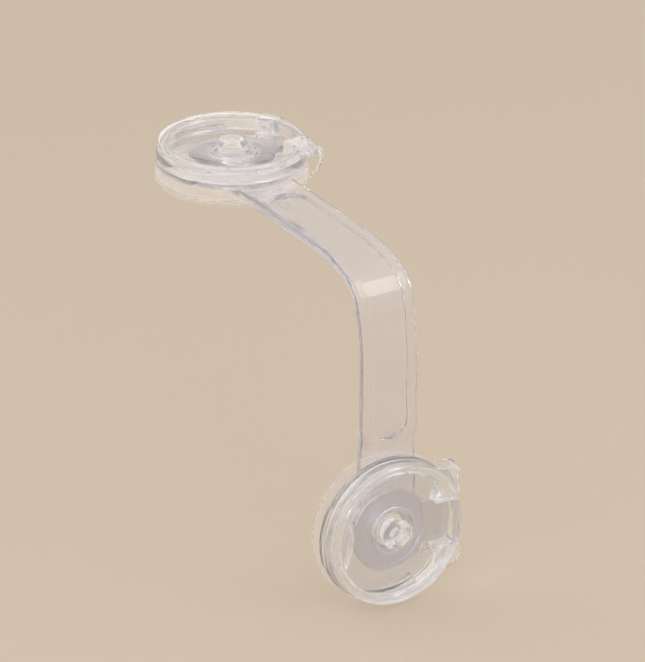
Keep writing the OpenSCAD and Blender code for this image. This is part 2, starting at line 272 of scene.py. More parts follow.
class EarSizes(bpy.types.PropertyGroup):
    """Sizes of the grip ear and the stub on both sides of the press tongue."""

    angle: angle("Ear angle", -40, "Angle from the press tongue to the ear's tip")
    reach: length("Ear reach", 3.95 * MM, "How far the ear's tip stands out from the rim")
    root: length("Ear root", 0.6 * MM, "How deep the ear stands in the rim's top")
    tail_low: length("Tail end", 2.4 * MM, "Height at which the ear's tail ends")
    tail_lean: length("Tail lean", 2.75 * MM, "How far the tail's end stands in from the tip")
    tail_width: length("Tail width", 0.6 * MM, "Width of the tail's end")
    horn_depth: length("Horn depth", 1.9 * MM, "Depth of the ear where it leaves the rim")
    root_depth: length("Root depth", 2.2 * MM, "Depth of the ear's root inside the rim")
    bend_round: length("Bend rounding", 0.4 * MM, "Rounding of the bends in the ear's section")
    stub_root: length("Stub root", 1 * MM, "How deep the stub stands in the rim's top")
    stub_gap: length("Stub gap", 0.08 * MM, "Distance from the window to the stub")
    stub_cheek: length("Stub cheek", 0.5 * MM, "Length of the stub's slant beside the window")
    stub_lean: length("Stub lean", 0.1 * MM, "How far that slant leans in")
    stub_corner: length("Stub corner", 8.9 * MM, "Distance of the stub's corner from the middle line")
    stub_slope: length("Stub slope", 2.4 * MM, "Length of the stub's slope after its corner")
    stub_fall: length("Stub fall", 1.75 * MM, "How far that slope falls in")
    stub_end: length("Stub end", 1.3 * MM, "Thickness of the stub's end, from its root")
    stub_round: length("Stub rounding", 0.3 * MM, "Rounding of the stub's corners")
    stub_to: angle("Stub end angle", 40, "Angle at which the stub ends")
    root_near: length("Near root", 6.4 * MM, "Half width of the root on the tongue's side")
    root_away: length("Far root", 5.2 * MM, "Half width of the root on the other side")
    tip_half: length("Tip half width", 1.4 * MM, "Half width of the hook")
    edge_round: length("Edge rounding", 0.3 * MM, "Rounding of the ear's edges")


class LatchSizes(bpy.types.PropertyGroup):
    """Sizes of the latch and its leaf spring."""

    plate: length("Plate thickness", 0.85 * MM, "Thickness of the latch plate")
    plate_radius: length("Plate radius", -LATCH_LOW.x, "Radius of the latch plate")
    tongue_width: length("Tongue width", 11.8 * MM, "Width of the press tongue")
    arm_width: length("Arm width", 11 * MM, "Width of the arm that carries the tongue")
    arm_root: length("Arm root", 0.6 * MM, "How deep that arm stands in the tongue")
    catch: length("Catch", 1 * MM, "How far the hole stands off centre when locked")
    hole_radius: length("Hole radius", 4.45 * MM, "Radius of the hole round the stud")
    collar_radius: length("Collar radius", 6.5 * MM, "Outer radius of the collar")
    collar_wall: length("Collar wall", 1 * MM, "Thickness of the collar")
    collar_height: length("Collar height", 0.95 * MM, "Height of the collar over the plate")
    leaf: length("Leaf thickness", 0.8 * MM, "Thickness of the leaf spring")
    leaf_height: length("Leaf height", 1.6 * MM, "Height of the leaf spring")
    leaf_gap: length("Leaf gap", 0.2 * MM, "Gap at the leaf spring's ends and crown")
    leaf_end: angle("Leaf end angle", 30.3, "Angle of the leaf spring's ends from its middle")
    travel: length("Press travel", 2.6 * MM, "How far the press tongue slides in")
    leaf_round: length("Leaf rounding", 0.15 * MM, "Rounding of the leaf spring's edges")
    leaf_tip: length("Leaf tip rounding", 0.12 * MM, "Rounding of the leaf spring's ends")
    collar_round: length("Collar rounding", 0.3 * MM, "Rounding of the collar's top")
    tongue_round: length("Tongue rounding", 0.28 * MM, "Rounding of the press tongue's long edges")
    tongue_end: length("Tongue end rounding", 0.22 * MM, "Rounding of the press tongue's ends")
    edge_round: length("Edge rounding", 0.18 * MM, "Rounding of the latch plate's edges")


class StrapSizes(bpy.types.PropertyGroup):
    """Sizes of the strap."""

    width: length("Width", 16.3 * MM, "Width of the strap")
    thickness: length("Thickness", 2.2 * MM, "Thickness of the strap")
    eye_radius: length("Eye radius", LEG_HIGH.x, "Outer radius of the round ends")
    bore_radius: length("Bore radius", 5.56 * MM, "Radius of the bore that turns on the hub")
    recess_width: length("Recess width", 10.6 * MM, "Width of the long recess")
    recess_depth: length("Recess depth", 1.1 * MM, "Depth of the long recess")
    recess_start: length("Recess start", 25 * MM, "Distance from each eye to the recess")
    edge_round: length("Edge rounding", 0.45 * MM, "Rounding of the strap's outer edges")
    recess_flare: length("Recess flare", 0.3 * MM, "How far the recess's mouth flares")
    floor_round: length("Recess rounding", 0.28 * MM, "Rounding of the recess's floor")
    eye_round: length("Eye rounding", 0.2 * MM, "Rounding of the round ends' undersides")
    flank_radius: length("Flank radius", 52 * MM, "Inside radius on each side of the tight bend")
    step_start: length("Step start", 22 * MM, "Distance from the lower eye to the strap's step")
    step_length: length("Step length", 6 * MM, "Length of that step")


class PlasticLook(bpy.types.PropertyGroup):
    """Colours and gloss of the plastic."""

    # Case tint is partly the plastic's own faint lilac tint and partly painted shade: it is darkened
    # so that cup floors and latch plates look shaded, as the board under a case would be
    case_tint_and_painted_shade: colour("Case tint", (0.84, 0.84, 0.865), "Tint of light through cups and latches")
    rim_tint: colour("Rim tint", (0.975, 0.968, 0.968), "Tint of light through rims and bases")
    strap_tint: colour("Strap tint", (0.915, 0.905, 0.945), "Tint of light through the strap")
    shadow_tint: colour("Shadow tint", (0.97, 0.965, 0.96), "Tint of lamp light that shines through")
    pad_tint: colour("Pad tint", (0.9, 0.885, 0.87), "Colour of the adhesive film")
    pad_alpha: number("Pad cover", 0.03, "How much of the view the film hides")
    pad_roughness: number("Pad roughness", 0.35, "Roughness of the adhesive film")
    bubble_scale: number("Bubble scale", 700, "Trapped bubbles per metre", 1, 5000)
    bubble_depth: length("Bubble depth", 0.05 * MM, "Height of the bubbles' relief")
    case_ior: number("Case refraction", 1.49, "Refractive index of the cases", 1, 2)
    strap_ior: number("Strap refraction", 1.47, "Refractive index of the strap", 1, 2)
    clearness: number("Clearness", 0.96, "Share of light that goes through cups and latches", 0.5)
    rim_clearness: number("Rim clearness", 0.92, "The same share in rims and bases", 0.5)
    strap_clearness: number("Strap clearness", 0.93, "The same share in the strap", 0.5)
    gloss_roughness: number("Roughness", 0.01, "Roughness of polished plastic")
    wear_roughness: number("Haze", 0.02, "Added roughness of handled patches")
    flow_scale: number("Flow scale", 90, "Moulding waves per metre", 1, 1000)
    haze_scale: number("Haze scale", 360, "Hazed patches per metre", 1, 5000)
    flow_depth: length("Flow depth", 0.012 * MM, "Height of the moulding waves")


class StageLook(bpy.types.PropertyGroup):
    """The floor, lamps and camera."""

    floor_colour: colour("Floor", (0.57, 0.478, 0.375), "Colour of the floor and background")
    floor_size: length("Floor size", 12, "Length of the floor's sides", high=50)
    floor_drop: length("Floor drop", 1 * MM, "Gap between the object and the floor")
    sky_colour: colour("Sky", (0.97, 0.955, 0.945), "Colour of the studio overhead")
    wall_colour: colour("Walls", (0.77, 0.75, 0.74), "Colour of the studio's walls")
    back_colour: colour("Back", (0.58, 0.55, 0.52), "Colour of the dim wall behind the object")
    camera_turn: angle("Camera azimuth", -30.557, "Turn of the camera round the object")
    camera_rise: angle("Camera elevation", 24.166, "Height of the camera over the horizon")
    camera_roll: angle("Camera roll", 0.533, "Turn of the camera round its own axis")
    camera_place: FloatVectorProperty(name="Camera place", description="Place of the camera",
                                      default=(-1.7016, -2.9290, 1.4768), size=3,
                                      subtype="TRANSLATION", unit="LENGTH")
    camera_lens: number("Lens", 777.7, "Focal length in millimetres", 10, 2000)
    round_steps: IntProperty(name="Round steps", description="Facets of a full turn",
                             default=192, min=24, max=512)


# Mesh helpers

def round_steps():
    """Facets of a full turn."""
    return bpy.context.scene.lock_stage.round_steps


def shifted(bm, x, y, z):
    """The bmesh, moved."""
    bmesh.ops.translate(bm, verts=bm.verts, vec=(x, y, z))
    return bm


def around(radius, turn):
    """The point of a plane at a radius and a turn from its first axis."""
    return radius * math.cos(turn), radius * math.sin(turn)


def evenly(start, end, count):
    """Values from start to end in this number of even steps."""
    return [start + (end - start) * i / count for i in range(count + 1)]


def only(kind, geometry):
    """The vertices or edges among what a bmesh operator gives back."""
    return [part for part in geometry if isinstance(part, kind)]


def rotated(bm, turn, axis):
    """The bmesh, turned round an axis through the origin."""
    bmesh.ops.rotate(bm, verts=bm.verts, cent=(0, 0, 0), matrix=Matrix.Rotation(turn, 3, axis))
    return bm


def rounded(bm, picked, offset, segments=EDGE_FACETS, affect="EDGES"):
    """The bmesh with edges, or a flat outline's corners, rounded."""
    bmesh.ops.bevel(bm, geom=picked, offset=offset, offset_type="OFFSET", segments=segments,
                    profile=0.5, affect=affect, clamp_overlap=True, material=-1)
    return bm


def rims_of(faces):
    """The edges round some faces, each once."""
    return list({e for face in faces for e in face.edges})


def ends_of(bm):
    """The end faces of a solid whose other faces have three or four corners."""
    return [face for face in bm.faces if len(face.verts) > 4]


def remade_outwards(bm):
    """Merges doubles, then turns all faces outwards."""
    bmesh.ops.remove_doubles(bm, verts=bm.verts, dist=MERGE)
    bmesh.ops.recalc_face_normals(bm, faces=bm.faces)
    return bm


def outline(points, rounding=0.0, sharp=()):
    """A flat face in the XZ plane with these corners, all rounded but the ones named sharp."""
    bm = bmesh.new()
    corners = [bm.verts.new((x, 0, z)) for x, z in points]
    bm.faces.new(corners)
    if rounding:
        picked = [v for i, v in enumerate(corners) if i not in sharp]
        rounded(bm, picked, rounding, CORNER_FACETS, "VERTICES")
    return bm


def bar(near, far, low, high, rounding=0.0, sharp=()):
    """A flat rectangle, whose corners run near low, far low, far high, near high."""
    return outline([(near, low), (far, low), (far, high), (near, high)], rounding, sharp)


def without_faces(bm, axis_too=True):
    """Leaves the outline's edges, and drops those that lie on the axis."""
    bmesh.ops.delete(bm, geom=bm.faces[:], context="FACES_ONLY")
    if axis_too:
        on_axis = [e for e in bm.edges if all(abs(v.co.x) < ON_AXIS for v in e.verts)]
        bmesh.ops.delete(bm, geom=on_axis, context="EDGES")
    return bm


def turned(bm):
    """Spins an outline a full turn round the Z axis into a closed solid."""
    without_faces(bm)
    bmesh.ops.spin(bm, geom=bm.verts[:] + bm.edges[:], cent=(0, 0, 0), axis=(0, 0, 1),
                   dvec=(0, 0, 0), angle=math.tau, steps=round_steps(), use_merge=True,
                   use_duplicate=False)
    return remade_outwards(bm)


def turned_between(bm, start, end, gap=None, edge=0.0):
    """Spins an outline from one angle to another and closes both ends.

    With a gap, each end is moved to that distance from the X axis. With an edge, the rims of
    the ends are rounded by it.
    """
    rotated(bm, start, "Z")
    without_faces(bm, axis_too=False)
    steps = max(LEAST_FACETS, round(round_steps() * abs(end - start) / math.tau))
    bmesh.ops.spin(bm, geom=bm.verts[:] + bm.edges[:], cent=(0, 0, 0), axis=(0, 0, 1),
                   dvec=(0, 0, 0), angle=end - start, steps=steps, use_merge=False,
                   use_duplicate=False)
    open_edges = [e for e in bm.edges if e.is_boundary]
    caps = bmesh.ops.edgeloop_fill(bm, edges=open_edges)["faces"]
    if gap is not None:
        for v in {v for cap in caps for v in cap.verts}:
            v.co.xy = (math.sqrt(v.co.xy.length_squared - gap ** 2), math.copysign(gap, v.co.y))
    remade_outwards(bm)
    if edge:
        rounded(bm, rims_of(ends_of(bm)), edge)
    return bm


def raised(bm, depth, edge=0.0):
    """Gives a flat outline in the XZ plane a depth along Y, and rounds its rims."""
    made = bmesh.ops.extrude_face_region(bm, geom=bm.faces[:])
    bmesh.ops.translate(bm, verts=only(BMVert, made["geom"]), vec=(0, depth, 0))
    remade_outwards(bm)
    if edge:
        across_y = 0.99
        rounded(bm, rims_of([f for f in bm.faces if abs(f.normal.y) > across_y]), edge)
    return bm


def laid_flat(bm, height=0.0):
    """Turns a solid raised along Y so that its outline lies in the XY plane, and lifts it."""
    rotated(bm, math.pi / 2, "X")
    bmesh.ops.scale(bm, verts=bm.verts, vec=(1, -1, 1))
    shifted(bm, 0, 0, height)
    bmesh.ops.recalc_face_normals(bm, faces=bm.faces)
    return bm


def rod(radius, height):
    """An upright cylinder with its middle at the origin."""
    bm = bmesh.new()
    bmesh.ops.create_cone(bm, cap_ends=True, segments=round_steps(), radius1=radius, radius2=radius,
                          depth=height)
    return bm


def cut_across(bm, place, clear_before=False, clear_beyond=False):
    """Cuts across a solid that lies along -Y, and can drop what is before or beyond the cut."""
    bmesh.ops.bisect_plane(bm, geom=bm.verts[:] + bm.edges[:] + bm.faces[:], dist=ON_PLANE,
                           plane_co=(0, -place, 0), plane_no=(0, -1, 0),
                           clear_outer=clear_beyond, clear_inner=clear_before)


def as_object(name, bm):
    """A linked object that holds a bmesh, which is freed."""
    mesh = bpy.data.meshes.new(name)
    bm.to_mesh(mesh)
    bm.free()
    obj = bpy.data.objects.new(name, mesh)
    bpy.context.scene.collection.objects.link(obj)
    return obj


def carved(bm, operation, *tools):
    """The bmesh with each tool joined or cut away by an exact Boolean."""
    body = as_object("carving", bm)
    cutters = [as_object("carver", tool) for tool in tools]
    for cutter in cutters:
        step = body.modifiers.new("carve", "BOOLEAN")
        step.operation = operation
        step.solver = "EXACT"
        step.object = cutter
    depsgraph = bpy.context.evaluated_depsgraph_get()
    result = bmesh.new()
    result.from_object(body, depsgraph)
    for obj in [body, *cutters]:
        mesh = obj.data
        bpy.data.objects.remove(obj)
        bpy.data.meshes.remove(mesh)
    bmesh.ops.remove_doubles(result, verts=result.verts, dist=CARVED_MERGE)
    bmesh.ops.dissolve_degenerate(result, dist=CARVED_MERGE, edges=result.edges)
    return result


def copied(bm, mirrored=False):
    """A copy of a bmesh, mirrored across the XZ plane if asked."""
    other = bm.copy()
    if mirrored:
        bmesh.ops.scale(other, verts=other.verts, vec=(1, -1, 1))
        bmesh.ops.reverse_faces(other, faces=other.faces)
    return other


def placed_low(bm):
    """Carries a mesh from the upper case's frame to the lower case, its mirror image."""
    turn = Matrix(((1, 0, 0, 0), (0, 0, -1, -UPPER_LEG), (0, -1, 0, -LOWER_LEG), (0, 0, 0, 1)))
    bm.transform(turn)
    bmesh.ops.reverse_faces(bm, faces=bm.faces)
    return bm


def finished_piece(name, bm, *materials, smooth_under=32):
    """An object for a finished mesh, smooth except at edges sharper than the given degrees."""
    obj = as_object(name, bm)
    for material in materials:
        obj.data.materials.append(material)
    obj.data.polygons.foreach_set("use_smooth", [True] * len(obj.data.polygons))
    obj.data.set_sharp_from_angle(angle=math.radians(smooth_under))
    return obj


def marked(bm, test):
    """Gives the second material to the faces whose middle passes a test."""
    for face in bm.faces:
        face.material_index = 1 if test(face.calc_center_median()) else 0
    return bm


def placed_on_both(bm, piece, body, slot, *materials):
    """Puts a piece of a case on both cases. It stands for the CAD node of the same name."""
    made = []
    for side in SIDES:
        mesh = bm.copy()
        if side == "lower":
            placed_low(mesh)
        obj = finished_piece(f"{side}_{piece}_moulding", mesh, *materials)
        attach(obj, f"{side}_{body}")
        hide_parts(f"{side}_{piece}")
        made.append(obj)
    bm.free()
    return made


# Materials

class Value:
    """A shader socket that takes part in Python sums, each of which adds a Math node."""

    def __init__(self, shader, socket):
        self.shader = shader
        self.socket = socket

    def math(self, operation, *others):
        """A Math node on this value and others, which may be numbers."""
        inputs = dict(enumerate([self, *others]))
        return self.shader.node("ShaderNodeMath", {"operation": operation}, inputs)

    def __add__(self, other):
        return self.math("ADD", other)

    def __mul__(self, other):
        return self.math("MULTIPLY", other)

    __radd__ = __add__
    __rmul__ = __mul__


class Shader:
    """A material or world's node tree, emptied and ready for new nodes."""

    def __init__(self, owner):
        owner.use_nodes = True
        self.tree = owner.node_tree
        self.tree.nodes.clear()

    def node(self, kind, settings=None, inputs=None, output=0):
        """Adds a node of this kind, makes its settings, then fills or links its sockets."""
        made = self.tree.nodes.new(kind)
        for name, value in (settings or {}).items():
            if name == "stops":
                self.set_stops(made, value)
            else:
                setattr(made, name, value)
        for name, value in (inputs or {}).items():
            if isinstance(value, Value):
                self.tree.links.new(value.socket, made.inputs[name])
            else:
                made.inputs[name].default_value = value
        return Value(self, made.outputs[output]) if made.outputs else None

    def set_stops(self, ramp, stops):
        """Gives a ColorRamp its places and greys or colours."""
        elements = ramp.color_ramp.elements
        while len(elements) < len(stops):
            elements.new(1)
        for element, (place, tone) in zip(elements, stops):
            element.position = place
            element.color = (*tone, 1) if isinstance(tone, tuple) else (tone, tone, tone, 1)


def rgba(tint):
    """A tint with full alpha, for a colour socket."""
    return (*tint, 1)


def clear_plastic(name, tint, ior, clearness):
    """Glossy clear moulded plastic, faintly waved and hazed, that lets lamp light through."""
    look = bpy.context.scene.lock_plastic
    material = bpy.data.materials.new(name)
    shader = Shader(material)
    place = shader.node("ShaderNodeTexCoord", output="Object")
    flow = shader.node("ShaderNodeTexNoise", {"noise_dimensions": "3D"},
                       {"Vector": place, "Scale": look.flow_scale, "Detail": 2.0})
    haze = shader.node("ShaderNodeTexNoise", {"noise_dimensions": "3D"},
                       {"Vector": place, "Scale": look.haze_scale, "Detail": 4.0})
    patches = shader.node("ShaderNodeValToRGB", {"stops": HAZE_STOPS}, {"Fac": haze})
    waves = shader.node("ShaderNodeBump", None,
                        {"Strength": 1.0, "Distance": look.flow_depth, "Height": flow})
    plastic = shader.node("ShaderNodeBsdfPrincipled", None,
                          {"Base Color": rgba(tint), "IOR": ior, "Transmission Weight": clearness,
                           "Roughness": look.gloss_roughness + patches * look.wear_roughness,
                           "Normal": waves})
    through = shader.node("ShaderNodeBsdfTransparent", None, {"Color": rgba(look.shadow_tint)})
    shadow_ray = shader.node("ShaderNodeLightPath", output="Is Shadow Ray")
    mixed = shader.node("ShaderNodeMixShader", None, {0: shadow_ray, 1: plastic, 2: through})
    shader.node("ShaderNodeOutputMaterial", None, {"Surface": mixed})
    return material


def seam_face():
    """The unseen faces where two stretches of the strap meet inside the plastic."""
    material = bpy.data.materials.new("strap_seam")
    shader = Shader(material)
    unseen = shader.node("ShaderNodeBsdfPrincipled", None, {"Alpha": 0.0})
    shader.node("ShaderNodeOutputMaterial", None, {"Surface": unseen})
    return material


def adhesive_film():
    """Clear double-sided film with tiny trapped bubbles, which also wets the plates' undersides."""
    look = bpy.context.scene.lock_plastic
    material = bpy.data.materials.get("adhesive_film")
    if material:
        return material
    material = bpy.data.materials.new("adhesive_film")
    shader = Shader(material)
    place = shader.node("ShaderNodeTexCoord", output="Object")
    bubbles = shader.node("ShaderNodeTexNoise", {"noise_dimensions": "3D"},
                          {"Vector": place, "Scale": look.bubble_scale, "Detail": 3.0})
    cover = shader.node("ShaderNodeValToRGB", {"stops": BUBBLE_STOPS}, {"Fac": bubbles})
    relief = shader.node("ShaderNodeBump", None,
                         {"Strength": 0.5, "Distance": look.bubble_depth, "Height": bubbles})
    film = shader.node("ShaderNodeBsdfPrincipled", None,
                       {"Base Color": rgba(look.pad_tint), "Roughness": look.pad_roughness,
                        "Alpha": cover * look.pad_alpha, "Normal": relief})
    shader.node("ShaderNodeOutputMaterial", None, {"Surface": film})
    return material


def case_plastic_with_painted_shade():
    """The plastic of the cups' floors and the latch plates, made once."""
    look = bpy.context.scene.lock_plastic
    found = bpy.data.materials.get("case_plastic_with_painted_shade")
    return found or clear_plastic("case_plastic_with_painted_shade", look.case_tint_and_painted_shade, look.case_ior, look.clearness)


def rim_plastic():
    """The whiter plastic of the rims, walls, base plates, studs and springs, made once."""
    look = bpy.context.scene.lock_plastic
    found = bpy.data.materials.get("rim_plastic")
    return found or clear_plastic("rim_plastic", look.rim_tint, look.case_ior, look.rim_clearness)


# Operators, one for each piece or pair of pieces

class PadOperator(bpy.types.Operator):
    """Model the adhesive pads"""

    bl_idname = "lock.adhesive_pads"
    bl_label = "Adhesive pads"

    def execute(self, context):
        base = context.scene.lock_base
        section = bar(0, base.pad_radius, 0, PAD_HIGH.z - SINK, base.pad_round, sharp=(0, 3))
        placed_on_both(turned(section), "adhesive_pad", "base", "clear_adhesive", adhesive_film())
        return {"FINISHED"}


class PlateOperator(bpy.types.Operator):
    """Model the base plates with their hubs"""

    bl_idname = "lock.base_plates"
    bl_label = "Base plates"

    def execute(self, context):
        base = context.scene.lock_base
        plate_top = STUD_LOW.z
        section = outline([(0, PLATE_LOW.z), (base.wet_radius, PLATE_LOW.z),
                           (base.plate_radius, PLATE_LOW.z),
                           (base.plate_radius, plate_top), (base.hub_radius, plate_top),
                           (base.hub_radius, PLATE_HIGH.z), (base.socket_radius, PLATE_HIGH.z),
                           (base.socket_radius, plate_top), (0, plate_top)],
                          base.edge_round, sharp=(0, 1, 4, 7, 8))
        plate = marked(turned(section), lambda spot: spot.z < PLATE_LOW.z + SINK
                       and spot.xy.length < base.wet_radius)
        placed_on_both(plate, "base_plate", "base", "clear_case", rim_plastic(), adhesive_film())
        return {"FINISHED"}


class StudOperator(bpy.types.Operator):
    """Model the studs that the latches grip"""

    bl_idname = "lock.hub_studs"
    bl_label = "Hub studs"

    def execute(self, context):
        base = context.scene.lock_base
        top = STUD_HIGH.z
        cone_top = top - base.head_edge_height
        dimple_z = top - base.dimple_depth
        section = outline([(0, STUD_LOW.z), (base.shank_radius, STUD_LOW.z),
                           (base.shank_radius, PLATE_HIGH.z), (base.neck_radius, PLATE_HIGH.z),
                           (base.neck_radius, cone_top - base.cone_height),
                           (base.head_radius, cone_top), (base.head_top_radius, top),
                           (base.dimple_radius, top), (base.dimple_floor, dimple_z),
                           (0, dimple_z)],
                          base.stud_round, sharp=(0, 2, 9))
        placed_on_both(turned(section), "hub_stud", "base", "clear_case", rim_plastic())
        return {"FINISHED"}


class CupOperator(bpy.types.Operator):
    """Model the cups with their lips, ramped stops and pegs"""

    bl_idname = "lock.cups"
    bl_label = "Cups"

    def execute(self, context):
        case = context.scene.lock_case
        floor_z = CUP_LOW.z
        floor_top = floor_z + case.floor
        wall_top = RING_HIGH.z - case.band
        wall_inner = case.radius - case.wall
        wall_foot = floor_z + case.foot_height
        floor = turned(bar(case.stud_hole, case.radius, floor_z, floor_top, case.edge_round,
                           sharp=(2,)))
        wall = outline([(wall_inner, wall_foot), (case.radius, wall_foot),
                        (case.band_radius, wall_top), (wall_inner, wall_top)],
                       case.edge_round, sharp=(0, 1))
        wall = turned_between(wall, WINDOW_TURN, math.tau - WINDOW_TURN, gap=case.window / 2,
                              edge=case.wall_end)
        lip = bar(wall_inner + case.joint_gap, case.lip_radius, floor_z, floor_z + case.lip_height,
                  case.edge_round, sharp=(0, 3))
        lip = turned_between(lip, case.lip_from, case.lip_to, edge=case.lip_end)
        peg = bar(0, case.peg_radius, floor_top - ROOT, floor_top + case.peg_height,
                  case.peg_round, sharp=(0, 1, 3))
        peg = shifted(turned(peg), case.peg_x, case.peg_y, 0)
        solid = carved(floor, "UNION", wall, lip, peg, self.ramp(case, floor_top))
        # The cup's floor gets the plastic with painted shade, its wall and lip the unshaded rim
        # plastic
        marked(solid, lambda spot: spot.xy.length > wall_inner - case.joint_gap)
        placed_on_both(solid, "cup", "cup", "clear_case", case_plastic_with_painted_shade(), rim_plastic())
        return {"FINISHED"}

    def ramp(self, case, floor_top):
        """The ramped stop, thinned along its arc from its square end to nothing."""
        outer = case.radius - case.rim_width - case.joint_gap
        inner = outer - case.ramp_width
        section = bar(inner, outer, floor_top - ROOT, floor_top + case.ramp_height)
        bm = turned_between(section, case.ramp_from, case.ramp_to)
        for v in bm.verts:
            radius = v.co.xy.length
            share = (self.turn_of(v) - case.ramp_from) / (case.ramp_to - case.ramp_from)
            least = case.ramp_least if radius < outer - case.ramp_least else 0
            v.co.xy *= (outer - (outer - radius) * (1 - share) - least * share) / radius
        tail = case.ramp_to - RAMP_TAIL
        folds = [e for e in bm.edges if e.is_manifold and e.calc_face_angle(0) > RAMP_FOLD
                 and all(v.co.z > floor_top and self.turn_of(v) < tail for v in e.verts)]
        return rounded(bm, folds, case.ramp_round, segments=2)

    def turn_of(self, v):
        """A vertex's turn round the Z axis, from the X axis."""
        return math.atan2(v.co.y, v.co.x)


class CoverRingOperator(bpy.types.Operator):
    """Model the cover rings with their guide blocks and grip ears"""

    bl_idname = "lock.cover_rings"
    bl_label = "Cover rings"

    def execute(self, context):
        case = context.scene.lock_case
        rim_inner = case.radius - case.rim_width
        band_z = RING_HIGH.z - case.band
        spigot_z = CUP_LOW.z + case.floor + case.joint_gap
        spigot_outer = case.radius - case.wall - case.joint_gap
        flange_z = RING_HIGH.z - case.flange_height
        section = outline([(rim_inner, spigot_z), (spigot_outer, spigot_z), (spigot_outer, band_z),
                           (case.band_radius, band_z), (case.top_radius, RING_HIGH.z),
                           (case.flange_radius, RING_HIGH.z), (case.flange_radius, flange_z),
                           (rim_inner, flange_z - (rim_inner - case.flange_radius))],
                          case.edge_round, sharp=(2,))
        solid = turned_between(section, WINDOW_TURN, math.tau - WINDOW_TURN, gap=case.window / 2,
                               edge=case.ring_end)
        block = self.guide_block(case, rim_inner, spigot_z)
        ears = context.scene.lock_ears
        solid = carved(solid, "UNION", block, copied(block, True), self.ear(case, ears),
                       self.stub(case, ears))
        placed_on_both(solid, "cover_ring", "cup", "clear_case", rim_plastic())
        return {"FINISHED"}

    def guide_block(self, case, rim_inner, spigot_z):
        """The block inside the rim on one side of the window."""
        half = case.window / 2
        outer = rim_inner + case.block_root
        turns = evenly(math.asin(half / outer), case.block_to, BLOCK_FACETS)
        peg_side = case.peg_x + case.peg_radius + case.block_gap
        points = [(case.block_near, half), *[around(outer, turn) for turn in turns],
                  *[(peg_side, case.peg_y + away) for away in BLOCK_BESIDE_PEG],
                  Vector((case.block_near, half)) + BLOCK_TOE]
        height = RING_HIGH.z - SINK - spigot_z
        return laid_flat(raised(outline(points), height, case.block_round), spigot_z)

    def ear(self, case, sizes):
        """The grip ear: a horn that hooks over and down, turned to its angle."""
        root = case.top_radius - sizes.root
        top = RING_HIGH.z - SINK
        tip = case.radius + sizes.reach
        tail = tip - sizes.tail_lean
        outside, inside = ([(tip - away * MM, top - down * MM) for away, down in side]
                           for side in (EAR_OUTSIDE, EAR_INSIDE))
        points = [(root, top), *outside, (tail, sizes.tail_low),
                  (tail - sizes.tail_width, sizes.tail_low), *inside,
                  (case.radius, top - sizes.horn_depth), (root, top - sizes.root_depth)]
        depth = 1
        bm = raised(outline(points, sizes.bend_round, sharp=(0, len(points) - 1)), depth)
        for v in bm.verts:
            share = min(1, max(0, (v.co.x - root) / (tip - root)))
            spread = (1 - share) ** 3
            side, root_half = (1, sizes.root_near) if v.co.y > depth / 2 else (-1, sizes.root_away)
            v.co.y = side * (root_half * spread + sizes.tip_half * (1 - spread))
        bmesh.ops.recalc_face_normals(bm, faces=bm.faces)
        rims = [e for e in rims_of(ends_of(bm))
                if all(v.co.x > root + sizes.edge_round for v in e.verts)]
        return rotated(rounded(bm, rims, sizes.edge_round), sizes.angle, "Z")

    def stub(self, case, sizes):
        """The low hump on the tongue's other side."""
        front = case.top_radius
        root = front - sizes.stub_root
        half = case.window / 2 + sizes.stub_gap
        points = [(front - sizes.stub_lean, half), (front, half + sizes.stub_cheek),
                  (front, sizes.stub_corner),
                  (front - sizes.stub_fall, sizes.stub_corner + sizes.stub_slope),
                  around(root + sizes.stub_end, sizes.stub_to), around(root, sizes.stub_to),
                  around(root, math.asin(half / root))]
        height = case.band - 2 * STUB_SINK
        bm = raised(outline(points, sizes.stub_round, sharp=(0, 5, 6)), height, case.edge_round)
        return laid_flat(bm, RING_HIGH.z - STUB_SINK - height)


class LatchOperator(bpy.types.Operator):
    """Model the latches with their collars and press tongues"""

    bl_idname = "lock.latches"
    bl_label = "Latches"

    def execute(self, context):
        case = context.scene.lock_case
        latch = context.scene.lock_latch
        low = LATCH_LOW.z
        plate_top = low + latch.plate
        rim_inner = case.radius - case.rim_width
        half_arm = latch.arm_width / 2
        meet = math.asin(half_arm / latch.plate_radius)
        steps = round(round_steps() * (math.pi - meet) / math.pi)
        arm_end = rim_inner + latch.arm_root
        points = [around(latch.plate_radius, turn) for turn in evenly(meet, math.tau - meet, steps)]
        points += [(arm_end, -half_arm), (arm_end, half_arm)]
        plate = laid_flat(raised(outline(points), latch.plate, latch.edge_round), low)
        tongue = outline([(rim_inner, low), (case.radius, low), (case.top_radius, RING_HIGH.z),
                          (case.flange_radius, RING_HIGH.z)], latch.tongue_round)
        half_tongue = latch.tongue_width / 2
        reach = math.asin(half_tongue / case.radius) - TONGUE_SHORTFALL
        tongue = turned_between(tongue, -reach, reach, gap=half_tongue, edge=latch.tongue_end)
        collar = bar(latch.collar_radius - latch.collar_wall, latch.collar_radius, plate_top - ROOT,
                     plate_top + latch.collar_height, latch.collar_round, sharp=(0, 1))
        collar = shifted(turned(collar), latch.catch / 2, 0, 0)
        solid = carved(plate, "UNION", tongue, collar)
        hole = shifted(rod(latch.hole_radius, 2 * low), latch.catch, 0, low)
        solid = carved(solid, "DIFFERENCE", hole)
        # The latch plate gets the plastic with painted shade, the tongue and the collar's top the
        # unshaded rim plastic
        marked(solid, lambda spot: spot.z > plate_top + latch.edge_round)
        placed_on_both(solid, "latch", "latch", "clear_case", case_plastic_with_painted_shade(), rim_plastic())
        return {"FINISHED"}


